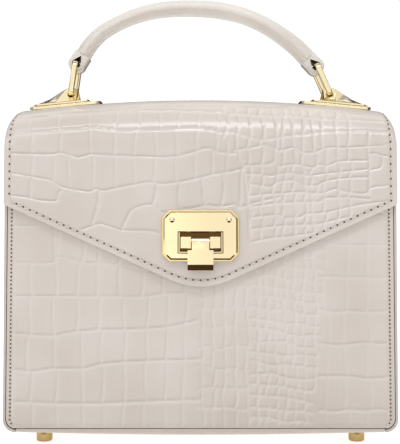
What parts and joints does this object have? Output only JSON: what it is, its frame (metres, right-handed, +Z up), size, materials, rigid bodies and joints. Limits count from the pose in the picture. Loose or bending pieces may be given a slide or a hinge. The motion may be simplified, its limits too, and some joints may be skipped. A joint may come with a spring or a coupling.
{
  "type": "handbag",
  "caption": "Structured top-handle handbag in embossed leather with a pointed flap, a flip clasp, ring-hung padded handle and metal feet.",
  "frame": {"origin": "centre of the footprint on the surface the feet stand on, under the middle of the whole object's box", "axes": "+Z up, the front with the flap's clasp faces -Y, +X is to the viewer's right"},
  "size_m": [0.21, 0.1056, 0.2473],
  "materials": {
    "embossed_leather": "cream leather with a glossy crocodile emboss",
    "side_leather": "cream leather, semi-gloss",
    "handle_leather": "cream leather over padding, semi-gloss",
    "gold_metal": "polished pale gold plating"
  },
  "bodies": {
    "bag": {"front_panel": "embossed_leather", "back_panel": "embossed_leather", "flap": "embossed_leather", "gusset_left": "side_leather", "gusset_right": "side_leather", "bottom_panel": "side_leather", "handle_grip": "handle_leather", "handle_loop_left": "handle_leather", "handle_loop_right": "handle_leather", "bridge_plate_left": "gold_metal", "bridge_plate_right": "gold_metal", "bridge_left": "gold_metal", "bridge_right": "gold_metal", "ring_left": "gold_metal", "ring_right": "gold_metal", "clasp_backplate": "gold_metal", "clasp_plate": "gold_metal", "clasp_rivet_left": "gold_metal", "clasp_rivet_right": "gold_metal", "clasp_base": "gold_metal", "clasp_pin": "gold_metal", "foot_front_left": "gold_metal", "foot_front_right": "gold_metal", "foot_back_left": "gold_metal", "foot_back_right": "gold_metal"},
    "tongue": {"clasp_tongue": "gold_metal"}
  },
  "joints": [
    {"name": "clasp_flip", "type": "hinge", "parent": "bag", "child": "tongue", "pos_m": [0, -0.04878, 0.10881], "axis": [-1, 0, 0], "range_deg": [0, 90]}
  ]
}
